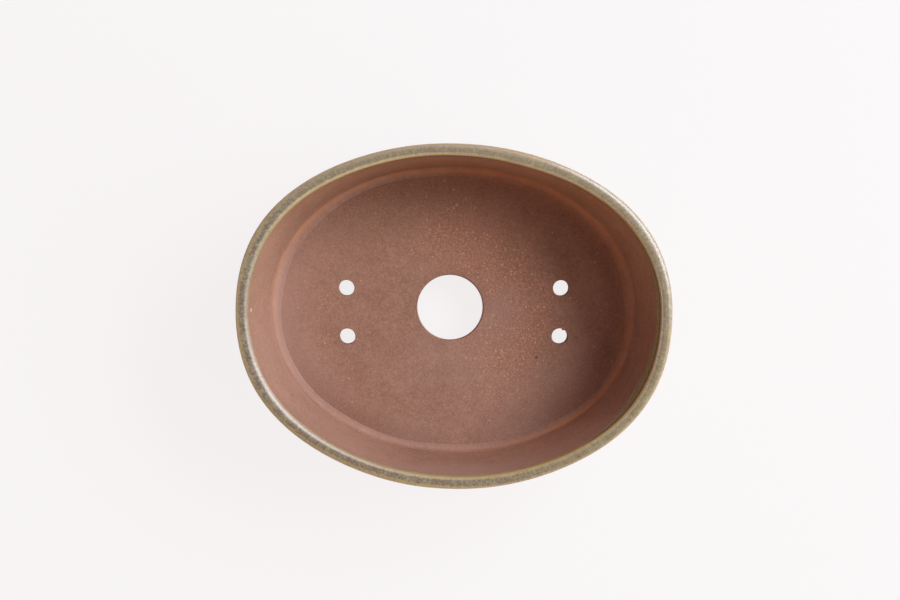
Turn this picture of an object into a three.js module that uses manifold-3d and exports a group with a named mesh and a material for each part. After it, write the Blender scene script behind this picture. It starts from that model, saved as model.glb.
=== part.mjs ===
import * as THREE from 'three';
import { mergeVertices } from 'three/addons/utils/BufferGeometryUtils.js';
import Module from 'manifold-3d';

// Oval bonsai pot of stoneware, in millimetres, standing on its four feet with +Z up.
// X runs the long way of the oval. Z = 0 is the surface that the feet stand on.

// Oval of the rim, measured over the glaze
const RIM_LENGTH = 160;
const RIM_WIDTH = 125.6;
const RIM_SQUARENESS = 2.12; // 2 is a plain ellipse, more is fuller at the corners
const RIM_TURN = -2.1; // degrees that pressing by hand turned the rim from the floor's axes
const RIM_WOBBLE = 0.4; // how far the rim runs in and out of its oval
const RIM_WOBBLE_LOBES = 3;
const RIM_WOBBLE_AT = 30; // degrees from +X to the first outward lobe
const RIM_RIPPLE = 0.3; // a finer run in and out on top of the wobble, from the same angle
const RIM_RIPPLE_LOBES = 6;

// Oval of the foot of the wall and of the floor, measured over the bare clay
const BASE_LENGTH = 149;
const BASE_WIDTH = 119;
const BASE_SQUARENESS = 2.08;
const BASE_TURN = -1.3; // degrees

// Heights, from the table up
const FOOT_HEIGHT = 6;
const FLOOR_THICKNESS = 6;
const WALL_HEIGHT = 40; // from the floor's upper face to the clay of the rim

// Wall
const WALL_THICKNESS = 3.6; // at the rim
const WALL_FOOT_THICKNESS = 5.2; // where it stands on the floor
const WALL_BELLY = 0.8; // how far the outside swells past the straight line from foot to rim
const RIM_ROUND = 1.5; // radius on both edges of the rim
const LARGEST_RIM_ROUND = 0.48; // share of the wall that one edge's radius may take

// Floor and its holes
const FLOOR_EDGE_ROUND = 2; // radius on the lower edge
const DRAIN_DIAMETER = 25;
const DRAIN_X = -1.4;
const DRAIN_Y = 0.7;
const WIRE_HOLE_DIAMETER = 6;
const WIRE_HOLE_SPACING_LONG = 82;
const WIRE_HOLE_SPACING_SHORT = 18.6;
const WIRE_HOLES_Y = -1; // middle of the four wire holes

// Coil pressed into the corner between wall and floor
const COIL_HEIGHT = 3.2;
const COIL_WIDTH = 2.2;
const COIL_EDGE = 0.5; // thickness that its two thin edges keep
const COIL_CLEARANCE = 0.1; // slip joint to the wall

// Feet, crescent pads that follow the edge of the floor
const FOOT_LENGTH = 36;
const FOOT_WIDTH = 12;
const FOOT_INSET = 4; // from the floor's edge to the foot
const FOOT_TAPER = 0.8; // how much narrower each side is where the foot meets the table
const FOOT_ROUND = 1.2; // radius on the lower edge
const FOOT_ANGLE = 42; // degrees round the oval from the long axis to the middle of a foot

// Glaze
const GLAZE_THICKNESS = 0.4;
const GLAZE_CLEARANCE = 0.1; // between the clay's facets and the glaze's
const GLAZE_LINE = 3; // bare clay left between the floor and the glaze outside
const GLAZE_LIP = 1.4; // how far the glaze runs down the inside, below the rim's rounding

// Fineness of the facets
const STEPS_AROUND = 72;
const STEPS_UP = 4;
const STEPS_PER_ROUND = 4;
const STEPS_ROUND_FOOT = 28;
const STEPS_ROUND_DRAIN = 40;
const STEPS_ROUND_WIRE_HOLE = 20;
const TURN_STEP = 1e-3; // radians, for directions along an oval
const JOIN_DISTANCE = 1e-3; // vertices nearer than this are one

// Heights and sizes that follow from those above
const FLOOR_TOP = FOOT_HEIGHT + FLOOR_THICKNESS;
const RIM_TOP = FLOOR_TOP + WALL_HEIGHT;
const RIM_EDGE = Math.min(RIM_ROUND, LARGEST_RIM_ROUND * WALL_THICKNESS);
const SHOULDER = RIM_TOP - RIM_EDGE;
const GLAZE_PROUD = GLAZE_CLEARANCE + GLAZE_THICKNESS;
const THROWN_RADIUS = (BASE_LENGTH + BASE_WIDTH) / 4;

const { degToRad, lerp } = THREE.MathUtils;

// Bare clay of the pot's outside at the foot of the wall and at the rim
const BASE_OVAL = {
  halfLength: BASE_LENGTH / 2,
  halfWidth: BASE_WIDTH / 2,
  squareness: BASE_SQUARENESS,
  turn: degToRad(BASE_TURN),
  wobble: 0,
  ripple: 0,
};
const RIM_OVAL = {
  halfLength: RIM_LENGTH / 2 - GLAZE_PROUD,
  halfWidth: RIM_WIDTH / 2 - GLAZE_PROUD,
  squareness: RIM_SQUARENESS,
  turn: degToRad(RIM_TURN),
  wobble: RIM_WOBBLE,
  ripple: RIM_RIPPLE,
};

// The oval at a share of the way up the wall: 0 at its foot, 1 at the rim.
function ovalAt(rise) {
  const oval = {};
  for (const key of Object.keys(BASE_OVAL)) {
    oval[key] = lerp(BASE_OVAL[key], RIM_OVAL[key], rise);
  }
  return oval;
}

// A point of an oval, at an angle from +X towards +Y.
function ovalPoint(oval, angle) {
  const power = 2 / oval.squareness;
  const cos = Math.cos(angle);
  const sin = Math.sin(angle);
  const point = new THREE.Vector2(
    oval.halfLength * Math.sign(cos) * Math.abs(cos) ** power,
    oval.halfWidth * Math.sign(sin) * Math.abs(sin) ** power,
  );
  const fromLobe = angle - degToRad(RIM_WOBBLE_AT);
  const wobble = oval.wobble * Math.cos(RIM_WOBBLE_LOBES * fromLobe);
  const ripple = oval.ripple * Math.cos(RIM_RIPPLE_LOBES * fromLobe);
  point.setLength(point.length() + wobble + ripple);
  return point.rotateAround(new THREE.Vector2(), oval.turn);
}

// The direction straight out of an oval at an angle.
function ovalOutward(oval, angle) {
  const along = ovalPoint(oval, angle + TURN_STEP).sub(ovalPoint(oval, angle - TURN_STEP));
  return new THREE.Vector2(along.y, -along.x).normalize();
}

// Presses a ring thrown on the wheel to the pot's oval. Each point keeps its height,
// and its distance in or out from the thrown radius becomes a distance from the pot's outside.
function pressToOval(geometry) {
  const position = geometry.getAttribute('position');
  for (let i = 0; i < position.count; i += 1) {
    const x = position.getX(i);
    const y = position.getY(i);
    const z = position.getZ(i);
    const angle = Math.atan2(y, x);
    const oval = ovalAt((z - FLOOR_TOP) / WALL_HEIGHT);
    const point = ovalPoint(oval, angle);
    point.addScaledVector(ovalOutward(oval, angle), Math.hypot(x, y) - THROWN_RADIUS);
    position.setXYZ(i, point.x, point.y, z);
  }
  return geometry;
}

// Turns a profile about the pot's axis. Its points are distances from the axis and heights.
function thrown(profile, steps) {
  return new THREE.LatheGeometry(profile, steps).rotateX(Math.PI / 2);
}

// A ring of the pot whose profile is given as distances from the outside of the clay and heights.
function pressedRing(profile) {
  const closed = [...profile, profile[0]];
  const onWheel = closed.map(([out, z]) => new THREE.Vector2(THROWN_RADIUS + out, z));
  return pressToOval(thrown(onWheel, STEPS_AROUND));
}

// The swell of the wall's outside at a height.
function outerFace(z) {
  const rise = (z - FLOOR_TOP) / WALL_HEIGHT;
  return 4 * WALL_BELLY * rise * (1 - rise);
}

// The wall's inside at a height: straight from its thick foot to the rim.
function innerFace(z) {
  const rise = (z - FLOOR_TOP) / (SHOULDER - FLOOR_TOP);
  return lerp(-WALL_FOOT_THICKNESS, outerFace(SHOULDER) - WALL_THICKNESS, rise);
}

// Points on an arc of a profile, from one angle to another, both in degrees.
function arcPoints(centreOut, centreZ, radius, from, to) {
  const points = [];
  for (let i = 0; i <= STEPS_PER_ROUND; i += 1) {
    const angle = degToRad(lerp(from, to, i / STEPS_PER_ROUND));
    points.push([centreOut + radius * Math.cos(angle), centreZ + radius * Math.sin(angle)]);
  }
  return points;
}

// The glazed stretch of the wall, from the glaze line outside, over the rim, to the end of the glaze
// inside, at a distance from the clay.
function overTheRim(proud) {
  const points = [];
  for (let i = 0; i < STEPS_UP; i += 1) {
    const z = lerp(FLOOR_TOP + GLAZE_LINE, SHOULDER, i / STEPS_UP);
    points.push([outerFace(z) + proud, z]);
  }
  const outerCentre = outerFace(SHOULDER) - RIM_EDGE;
  const innerCentre = innerFace(SHOULDER) + RIM_EDGE;
  points.push(...arcPoints(outerCentre, SHOULDER, RIM_EDGE + proud, 0, 90));
  points.push(...arcPoints(innerCentre, SHOULDER, RIM_EDGE + proud, 90, 180));
  points.push([innerFace(SHOULDER - GLAZE_LIP) - proud, SHOULDER - GLAZE_LIP]);
  return points;
}

function wallRing() {
  return pressedRing([[0, FLOOR_TOP], ...overTheRim(0), [-WALL_FOOT_THICKNESS, FLOOR_TOP]]);
}

function glazeCoat() {
  return pressedRing([...overTheRim(GLAZE_PROUD), ...overTheRim(GLAZE_CLEARANCE).reverse()]);
}

// The coil's face is drawn hollow by the fingertip that pressed it in.
function seamCoil() {
  const top = FLOOR_TOP + COIL_HEIGHT;
  const backFoot = innerFace(FLOOR_TOP) - COIL_CLEARANCE;
  const backTop = innerFace(top) - COIL_CLEARANCE;
  const front = innerFace(FLOOR_TOP) - COIL_WIDTH;
  const face = new THREE.QuadraticBezierCurve(
    new THREE.Vector2(backTop - COIL_EDGE, top),
    new THREE.Vector2(backFoot - COIL_EDGE, FLOOR_TOP + COIL_EDGE),
    new THREE.Vector2(front, FLOOR_TOP + COIL_EDGE),
  );
  const facePoints = face.getPoints(STEPS_PER_ROUND).map(({ x, y }) => [x, y]);
  return pressedRing([[backFoot, FLOOR_TOP], [backTop, top], ...facePoints, [front, FLOOR_TOP]]);
}

// A closed solid for cutting, from a geometry whose shared vertices are joined.
function solidOf(wasm, geometry) {
  const plain = geometry.clone();
  plain.deleteAttribute('normal');
  plain.deleteAttribute('uv');
  const merged = mergeVertices(plain, JOIN_DISTANCE);
  const vertProperties = new Float32Array(merged.getAttribute('position').array);
  const triVerts = new Uint32Array(merged.getIndex().array);
  return new wasm.Manifold(new wasm.Mesh({ numProp: 3, vertProperties, triVerts }));
}

function geometryOf(solid) {
  const { vertProperties, triVerts } = solid.getMesh();
  const geometry = new THREE.BufferGeometry();
  geometry.setAttribute('position', new THREE.BufferAttribute(vertProperties, 3));
  geometry.setIndex(new THREE.BufferAttribute(triVerts, 1));
  geometry.computeVertexNormals();
  return geometry;
}

// The floor's oval, as a share of the way from the middle to its edge, with the lower edge rounded.
function floorBlank() {
  const edge = BASE_LENGTH / 2;
  const roundZ = FOOT_HEIGHT + FLOOR_EDGE_ROUND;
  const round = arcPoints(edge - FLOOR_EDGE_ROUND, roundZ, FLOOR_EDGE_ROUND, -90, 0);
  const profile = [[0, FOOT_HEIGHT], ...round, [edge, FLOOR_TOP], [0, FLOOR_TOP]];
  const blank = thrown(profile.map(([r, z]) => new THREE.Vector2(r, z)), STEPS_AROUND);
  const position = blank.getAttribute('position');
  for (let i = 0; i < position.count; i += 1) {
    const x = position.getX(i);
    const y = position.getY(i);
    const point = ovalPoint(BASE_OVAL, Math.atan2(y, x));
    point.multiplyScalar(Math.hypot(x, y) / edge);
    position.setXY(i, point.x, point.y);
  }
  return blank;
}

// A cutter that goes right through the floor.
function holeCutter(diameter, steps, x, y) {
  const cutter = new THREE.CylinderGeometry(diameter / 2, diameter / 2, 2 * FLOOR_THICKNESS, steps);
  return cutter.rotateX(Math.PI / 2).translate(x, y, FLOOR_TOP - FLOOR_THICKNESS / 2);
}

async function floorSlab() {
  const wasm = await Module();
  wasm.setup();
  const cutters = [holeCutter(DRAIN_DIAMETER, STEPS_ROUND_DRAIN, DRAIN_X, DRAIN_Y)];
  for (const side of [-1, 1]) {
    for (const end of [-1, 1]) {
      const x = (end * WIRE_HOLE_SPACING_LONG) / 2;
      const y = WIRE_HOLES_Y + (side * WIRE_HOLE_SPACING_SHORT) / 2;
      cutters.push(holeCutter(WIRE_HOLE_DIAMETER, STEPS_ROUND_WIRE_HOLE, x, y));
    }
  }
  let slab = solidOf(wasm, floorBlank());
  for (const cutter of cutters) {
    slab = slab.subtract(solidOf(wasm, cutter));
  }
  return geometryOf(slab);
}

// A round pad, stretched along X and then bent to follow the floor's edge at an angle round the oval.
function foot(angle) {
  const onTable = 1 - (2 * FOOT_TAPER) / FOOT_WIDTH;
  const radius = FOOT_WIDTH / 2;
  const lower = arcPoints(radius * onTable - FOOT_ROUND, FOOT_ROUND, FOOT_ROUND, -90, 0);
  const profile = [[0, 0], ...lower, [radius, FOOT_HEIGHT], [0, FOOT_HEIGHT]];
  const pad = thrown(profile.map(([r, z]) => new THREE.Vector2(r, z)), STEPS_ROUND_FOOT);
  const middle = ovalPoint(BASE_OVAL, angle);
  const pace = ovalPoint(BASE_OVAL, angle + TURN_STEP).distanceTo(middle) / TURN_STEP;
  const position = pad.getAttribute('position');
  for (let i = 0; i < position.count; i += 1) {
    const along = position.getX(i) * (FOOT_LENGTH / FOOT_WIDTH);
    const across = position.getY(i);
    const bent = angle + along / pace;
    const point = ovalPoint(BASE_OVAL, bent);
    point.addScaledVector(ovalOutward(BASE_OVAL, bent), -FOOT_INSET - radius - across);
    position.setXY(i, point.x, point.y);
  }
  return pad;
}

function clay() {
  return new THREE.MeshStandardMaterial({ color: 0x9a6a56, roughness: 0.85, metalness: 0 });
}

function glaze() {
  return new THREE.MeshStandardMaterial({ color: 0x8a7a60, roughness: 0.2, metalness: 0 });
}

function piece(name, geometry, material) {
  const mesh = new THREE.Mesh(geometry, material);
  mesh.name = name;
  return mesh;
}

const pot = new THREE.Group();
pot.add(piece('wall_ring', wallRing(), clay()));
pot.add(piece('floor_slab', await floorSlab(), clay()));
pot.add(piece('seam_coil', seamCoil(), clay()));
pot.add(piece('foot_rear_right', foot(degToRad(FOOT_ANGLE)), clay()));
pot.add(piece('foot_rear_left', foot(degToRad(180 - FOOT_ANGLE)), clay()));
pot.add(piece('foot_front_left', foot(degToRad(180 + FOOT_ANGLE)), clay()));
pot.add(piece('foot_front_right', foot(degToRad(-FOOT_ANGLE)), clay()));
pot.add(piece('glaze_coat', glazeCoat(), glaze()));

export default pot;
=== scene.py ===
import math

import bmesh
import bpy
import numpy as np
from mathutils import Matrix, Vector
from mathutils.geometry import delaunay_2d_cdt


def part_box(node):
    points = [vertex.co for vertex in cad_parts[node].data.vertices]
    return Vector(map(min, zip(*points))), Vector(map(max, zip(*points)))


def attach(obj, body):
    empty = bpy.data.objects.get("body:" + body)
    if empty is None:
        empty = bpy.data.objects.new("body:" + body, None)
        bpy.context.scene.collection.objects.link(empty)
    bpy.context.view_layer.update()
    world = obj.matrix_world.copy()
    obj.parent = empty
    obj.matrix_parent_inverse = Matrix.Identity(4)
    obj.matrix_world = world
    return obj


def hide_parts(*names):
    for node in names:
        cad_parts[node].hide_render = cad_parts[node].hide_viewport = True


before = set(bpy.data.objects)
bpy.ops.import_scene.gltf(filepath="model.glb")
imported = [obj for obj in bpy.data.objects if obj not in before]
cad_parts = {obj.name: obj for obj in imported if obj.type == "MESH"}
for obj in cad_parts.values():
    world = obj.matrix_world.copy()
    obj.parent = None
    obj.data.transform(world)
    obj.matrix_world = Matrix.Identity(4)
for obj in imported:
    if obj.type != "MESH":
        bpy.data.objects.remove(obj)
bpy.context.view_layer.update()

# Lengths are in millimetres and become metres when a mesh is made. Directions round the pot are in degrees,
# anticlockwise from its right-hand end.
MM = 0.001

# The pot's ovals, over the bare clay at the foot of the wall and over the glaze at the rim
BASE_HALF_LENGTH = 74.5
BASE_HALF_WIDTH = 59.5
BASE_SQUARENESS = 2.08
BASE_TURN = -1.3
RIM_HALF_LENGTH = 80.0
RIM_HALF_WIDTH = 62.8
RIM_SQUARENESS = 2.12
RIM_TURN = -2.1
RIM_LOBES = ((3, 0.4), (6, 0.3))  # how many times the rim runs out of its oval and back, and how far
RIM_LOBES_AT = 30

# Heights come from the frame, and most thicknesses are those of its solids
FLOOR_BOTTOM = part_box("floor_slab")[0].z / MM
FLOOR_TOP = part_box("floor_slab")[1].z / MM
RIM_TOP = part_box("wall_ring")[1].z / MM
GLAZE_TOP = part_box("glaze_coat")[1].z / MM
GLAZE_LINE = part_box("glaze_coat")[0].z / MM
WALL_HEIGHT = RIM_TOP - FLOOR_TOP
GLAZE_PROUD = GLAZE_TOP - RIM_TOP
WALL_THICKNESS = 3.6
WALL_FOOT_THICKNESS = 5.2
WALL_BELLY = 0.8
RIM_ROUND = 1.5
RIM_INNER_ROUND = 1.15
RIM_THICKER = 0.25  # how much thicker than its solid the rim is nearly all round
SHOULDER = RIM_TOP - RIM_ROUND
PINCH_HEIGHT = 9.0
SEAT = 0.3  # how far a joined piece goes into its neighbour
INSIDE = -1.0  # clay of the wall that lies further in than this belongs to the pot's inside
CLAY_WAVE = 0.06  # depth of the waves that the hand left
CLAY_WAVE_BELOW = 6.0  # how far below the rim the hand's waves have their full depth

# Floor
FLOOR_EDGE_ROUND = 2.0
DRAIN = (-1.4, 0.7, 12.6)  # x, y, radius
WIRE_HOLES = ((-40.84, -10.35, 3.06), (-41.15, 8.3, 3.06), (40.76, -10.35, 3.06), (41.22, 8.2, 3.06))
HOLES = (DRAIN, *WIRE_HOLES)
HOLE_EDGE_ROUND = 0.35
CRUMB_HOLE = WIRE_HOLES[2]  # one hole has a crumb of clay left on its edge
CRUMB = 0.5
CRUMB_AT = 63
CRUMB_SPREAD = 6
HOLE_FLAT = (0.5, 1.2)  # loops of points round each hole that keep the floor flat up to its edge
FLOOR_MESH_STEP = 1.8
FLOOR_MESH_REACH = 0.95  # share of the way to the floor's edge that its inner points fill
FLOOR_WAVE = 0.07

# Coil in the corner of wall and floor
COIL_HEIGHT = 3.2
COIL_WIDTH = 2.2
COIL_TOE = 0.15  # how far its lower edge bulges over the floor

# Glaze
GLAZE_CLEAR = 0.1  # how far it stays inside its solid's outer face
GLAZE_WAVE = 0.02
GLAZE_LINE_LIFT = 0.9
GLAZE_LINE_ROUND = 1.2
GLAZE_LIP = 0.8  # how far it comes down inside where it didn't run
GLAZE_LIP_ROUND = 0.7
BEAD = 0.25  # how much thicker it is where it gathers above its lower edge
BEAD_AT = 1.5
BEAD_WIDTH = 1.6

# Feet
FOOT_LENGTH = 36.0
FOOT_WIDTH = 12.0
FOOT_INSET = 4.0
FOOT_TAPER = 0.8
FOOT_ROUND = 1.2
FOOT_FILLET = 1.4
FOOT_WAIST = 0.3  # how far the fillet starts inside the foot's full width
FOOT_ANGLES = {
    "foot_rear_right": 42,
    "foot_rear_left": 138,
    "foot_front_left": 222,
    "foot_front_right": -42,
}

# Points round the pieces, and rows of points over them
AROUND = 400
DRAIN_AROUND = 120
WIRE_HOLE_AROUND = 56
FOOT_AROUND = 72
WALL_OUTER_ROWS = 26
WALL_ROUND_ROWS = 9
WALL_INNER_ROWS = 60
GLAZE_SIDE_ROWS = 44
GLAZE_ROUND_ROWS = 13
GLAZE_LIP_ROWS = 22
COIL_ROWS = 19
ANGLE_STEP = 1e-3  # in radians, for slopes


def smooth(low, high, x):
    """Goes softly from 0 to 1 as x goes from low to high, which may lie below low."""
    t = np.clip((x - low) / (high - low), 0, 1)
    return t * t * (3 - 2 * t)


def lerp(a, b, t):
    return a + (b - a) * t


def angle_from(angle, degrees):
    """The angle between a direction round the pot and a named one, in degrees, from -180 to 180."""
    return (np.degrees(angle) - degrees + 180) % 360 - 180


def near_angle(angle, degrees, spread):
    """1 at a direction round the pot, falling off on both sides of it."""
    return np.exp(-((angle_from(angle, degrees) / spread) ** 2))


def swells(angle, *parts):
    """The sum of soft swells round the pot, each given by its size, direction and spread."""
    return sum(size * near_angle(angle, degrees, spread) for size, degrees, spread in parts)


def oval_point(rise, angle):
    """Points of the pot's bare outside: rise is 0 at the wall's foot and 1 at the rim."""
    power = 2 / lerp(BASE_SQUARENESS, RIM_SQUARENESS, rise)
    cos, sin = np.cos(angle), np.sin(angle)
    x = lerp(BASE_HALF_LENGTH, RIM_HALF_LENGTH - GLAZE_PROUD, rise) * np.sign(cos) * np.abs(cos) ** power
    y = lerp(BASE_HALF_WIDTH, RIM_HALF_WIDTH - GLAZE_PROUD, rise) * np.sign(sin) * np.abs(sin) ** power
    radius = np.hypot(x, y)
    from_lobe = angle - math.radians(RIM_LOBES_AT)
    lobes = sum(depth * np.cos(count * from_lobe) for count, depth in RIM_LOBES)
    grow = (radius + rise * lobes) / radius
    turn = np.radians(lerp(BASE_TURN, RIM_TURN, rise))
    x, y = x * grow, y * grow
    return x * np.cos(turn) - y * np.sin(turn), x * np.sin(turn) + y * np.cos(turn)


def oval_outward(rise, angle):
    """The direction straight out of the oval."""
    x0, y0 = oval_point(rise, angle - ANGLE_STEP)
    x1, y1 = oval_point(rise, angle + ANGLE_STEP)
    length = np.hypot(x1 - x0, y1 - y0)
    return (y1 - y0) / length, (x0 - x1) / length


def outer_face(z):
    """How far the wall's bare outside swells out of a straight line from its foot to the rim."""
    rise = (z - FLOOR_TOP) / WALL_HEIGHT
    return 4 * WALL_BELLY * rise * (1 - rise)


def inner_face(z):
    """How far out the wall's inside lies, which is less than 0."""
    rise = (z - FLOOR_TOP) / (SHOULDER - FLOOR_TOP)
    return lerp(-WALL_FOOT_THICKNESS, outer_face(SHOULDER) - WALL_THICKNESS, rise)


def rim_pinch(angle):
    """How far out the rim's inner edge lies from its even oval: it was pinched uneven by hand."""
    thinner = swells(angle, (0.42, 312, 30), (0.32, 98, 15), (0.45, 180, 12), (0.12, 358, 20))
    thicker = swells(angle, (0.3, 190, 32), (0.45, 28, 12), (0.3, 73, 9), (0.25, 148, 16), (0.15, 262, 25))
    return thinner - thicker - RIM_THICKER


def rim_outer_round(angle):
    """The radius of the rim's outer edge, which was wiped roundest on the pot's upper right."""
    return RIM_ROUND + swells(angle, (1.1, 28, 24), (0.35, 230, 28))


def rim_inner_round(angle):
    """The radius of the rim's inner edge, which was wiped roundest on the pot's lower left."""
    return RIM_INNER_ROUND + swells(angle, (0.5, 217, 24), (0.3, 330, 30))


def pinched(z):
    """The share of the pinch at a height on the inside: all of it at the rim, none some way down."""
    return smooth(SHOULDER - PINCH_HEIGHT, SHOULDER, z)


def new_piece(name, points, faces, replaced, marks=None):
    """Makes a smooth piece from points in millimetres. Marks are values at its points for its finish."""
    mesh = bpy.data.meshes.new(name)
    mesh.from_pydata((np.asarray(points) * MM).tolist(), [], faces)
    for mark, values in (marks or {}).items():
        layer = mesh.attributes.new(mark, "FLOAT", "POINT")
        layer.data.foreach_set("value", np.asarray(values, dtype=np.float32).ravel())
    shaped = bmesh.new()
    shaped.from_mesh(mesh)
    bmesh.ops.recalc_face_normals(shaped, faces=shaped.faces)
    shaped.to_mesh(mesh)
    shaped.free()
    mesh.shade_smooth()
    piece = bpy.data.objects.new(name, mesh)
    bpy.context.collection.objects.link(piece)
    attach(piece, "root")
    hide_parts(*replaced)
    return piece


def grid_faces(rows, columns, close_columns):
    """Quads between neighbouring rows, closed from the last row to the first."""
    faces = []
    for i in range(rows):
        here = i * columns
        after = (i + 1) % rows * columns
        for j in range(columns if close_columns else columns - 1):
            right = (j + 1) % columns
            faces.append((here + j, after + j, after + right, here + right))
    return faces


def ring_piece(name, out, z, replaced, marks):
    """A closed ring round the pot: out and z give its profile at each angle, out from the bare outside."""
    angle = ring_angles()
    rise = (z - FLOOR_TOP) / WALL_HEIGHT
    x, y = oval_point(rise, angle)
    outward_x, outward_y = oval_outward(rise, angle)
    points = np.stack([x + outward_x * out, y + outward_y * out, z], -1)
    faces = grid_faces(*out.shape, True)
    return new_piece(name, points.reshape(-1, 3), faces, replaced, marks)


def ring_angles():
    """Directions round the pot, in radians, one to a row."""
    return np.linspace(0, 2 * math.pi, AROUND, endpoint=False)[:, None]


def hand_wave(angle, z, depth):
    """The slow unevenness that a hand leaves on clay."""
    wave = np.sin(3 * angle + 0.09 * z) + 0.7 * np.sin(7 * angle - 0.13 * z + 1.0)
    return depth * (wave + 0.5 * np.sin(13 * angle + 0.31 * z + 2.2))


# The wall


def wall_profile(angle):
    """Distances out and heights of the clay wall, from its outer foot over the rim to its inner foot."""
    foot = FLOOR_TOP - SEAT
    outer_round = rim_outer_round(angle)
    up = lerp(foot, RIM_TOP - outer_round, np.linspace(0, 1, WALL_OUTER_ROWS))
    turn = np.radians(np.linspace(0, 90, WALL_ROUND_ROWS))[None, 1:]
    inner_round = rim_inner_round(angle)
    shoulder = RIM_TOP - inner_round
    closer_at_rim = np.linspace(0, 1, WALL_INNER_ROWS)[None, 1:] ** 1.4
    down = lerp(shoulder, foot, closer_at_rim)
    level = np.ones_like(angle)
    inner_centre = inner_face(shoulder) + inner_round + rim_pinch(angle) * pinched(shoulder)
    out = np.hstack([
        outer_face(up),
        outer_face(RIM_TOP - outer_round) - outer_round * (1 - np.cos(turn)),
        inner_centre,
        inner_centre - inner_round * np.sin(turn),
        inner_face(down) + rim_pinch(angle) * pinched(down),
        level * (inner_face(foot) + 0.4 * WALL_FOOT_THICKNESS),
        level * (inner_face(foot) + 0.8 * WALL_FOOT_THICKNESS),
    ])
    z = np.hstack([
        up,
        RIM_TOP - outer_round * (1 - np.sin(turn)),
        level * RIM_TOP,
        shoulder + inner_round * np.cos(turn),
        down,
        level * foot,
        level * foot,
    ])
    below_rim = smooth(SHOULDER, SHOULDER - CLAY_WAVE_BELOW, z) * (out < INSIDE)
    return out + hand_wave(angle, z, CLAY_WAVE) * below_rim, z


def make_wall():
    angle = ring_angles()
    out, z = wall_profile(angle)
    inside = out < INSIDE
    below_glaze = RIM_TOP - rim_inner_round(angle) - glaze_end_inside(angle) - z
    # How far down the clay darkens below the glaze's end: a brown line, with painted shadow under the
    # glaze's edge and painted shade far down on the pot's upper side
    stain_and_shade_reach = 0.9 + 9.0 * near_angle(angle, 80, 50)
    above_coil = z - FLOOR_TOP - COIL_HEIGHT
    flash_and_warm_light = lerp(0.3 * near_angle(angle, 170, 28), 0.32, flashed(angle))
    # Painted warm light on the wall's upper side and lower right, added to the flash
    warm = swells(angle, (0.24, 304, 24), (0.1, 100, 50))
    # Painted light: the wall is paler on the pot's lower side and, just above the coil, on its lower left,
    # where it faces the lamps
    pale_above = 0.55 * near_angle(angle, 279, 32) * smooth(24, 5, below_glaze)
    pale_below = 0.2 * smooth(32, 12, above_coil) + 0.3 * smooth(5, 0, above_coil)
    marks = {
        "stain_and_shade": smooth(stain_and_shade_reach, 0.3, below_glaze) * inside,
        "flash_and_warm_light": (smooth(2.2, 0.0, above_coil) * flash_and_warm_light + warm) * inside,
        "shade": swells(angle, (0.6, 103, 26), (0.12, 115, 50)) * inside,
        "pale": (pale_above + pale_below * near_angle(angle, 211, 32)) * inside,
    }
    return ring_piece("clay_wall", out, z, ["wall_ring"], marks)


# The coil pressed into the corner


def flashed(angle):
    """How strongly the coil flashed orange in the kiln: not at all on the pot's lower left."""
    return smooth(44, 74, np.abs(angle_from(angle, 216)))


def make_coil():
    angle = ring_angles()
    hand = 0.1 * np.sin(5 * angle + 0.6) + 0.06 * np.sin(11 * angle)
    wider = swells(angle, (0.4, 45, 60), (0.3, 140, 36), (0.3, 182, 24), (0.22, 355, 24))
    width = COIL_WIDTH * (1 + hand + wider)
    height = COIL_HEIGHT * (1 + 0.08 * np.sin(4 * angle + 2.0) + 0.05 * np.sin(9 * angle + 1.0))
    along = np.linspace(0, 1, COIL_ROWS)
    # The face runs down the wall, turns through the corner and runs out on the floor
    edge_height = 0.03 + 0.3 * near_angle(angle, 218, 24)
    corner_out = inner_face(FLOOR_TOP)
    corner_z = FLOOR_TOP + edge_height
    top_z = FLOOR_TOP + height
    top_out = inner_face(top_z)
    front_out = corner_out - width
    bend = 2 * along * (1 - along)
    face_out = (1 - along) ** 2 * top_out + bend * corner_out + along**2 * front_out
    face_z = (1 - along) ** 2 * top_z + bend * corner_z + along**2 * corner_z
    level = np.ones_like(angle)
    back_out = level * (corner_out + SEAT)
    back_z = level * (FLOOR_TOP - SEAT)
    out = np.hstack([face_out, front_out - COIL_TOE, front_out, back_out, top_out + SEAT])
    z = np.hstack([face_z, FLOOR_TOP + 0.4 * edge_height, back_z, back_z, top_z - SEAT])
    # Bands of colour across the face, from its edge on the wall, 0, to its edge on the floor, 1
    across = np.concatenate([along, [1.0, 1.0, 0.5, 0.0]])
    whole = smooth(-0.2, 0.4, across) * smooth(1.15, 0.65, across)
    upper = smooth(-0.3, 0.35, across) * smooth(0.95, 0.5, across)
    line = smooth(-0.4, 0.15, across) * smooth(0.85, 0.35, across)
    ridge = smooth(0.05, 0.35, across) * smooth(0.85, 0.5, across)
    lower = smooth(0.25, 0.5, across) * smooth(1.15, 0.85, across)
    upper = lerp(upper, line, near_angle(angle, 142, 32))
    broad = smooth(56, 30, np.abs(angle_from(angle, 55)))
    at_right = near_angle(angle, 0, 24)
    lower_left = near_angle(angle, 205, 45)
    weak = upper * lerp(0.15, 0.6, near_angle(angle, 170, 28))
    strong = lerp(lerp(upper, whole, broad), lower, at_right)
    around = flashed(angle) * (1 - swells(angle, (0.25, 8, 18), (0.5, 278, 24)))
    # Painted sheen: the coil is paler where it faces the lamps, most on the pot's lower left where it did
    # not flash
    painted_sheen = swells(angle, (0.28, 140, 34), (0.3, 283, 18))
    painted_sheen = painted_sheen + (1 - flashed(angle)) * lerp(0.45, 1.0, near_angle(angle, 195, 36))
    marks = {
        "flash_and_warm_light": lerp(weak, strong, around) + 0.55 * near_angle(angle, 320, 18) * ridge,
        "pale": painted_sheen * lerp(smooth(-0.4, 0.8, across), smooth(0.25, 0.85, across), lower_left),
        "shade": 0.3 * lower_left * smooth(0.8, 0.3, across),
    }
    return ring_piece("seam_coil_pressed", out, z, ["seam_coil"], marks)


# The glaze


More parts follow.
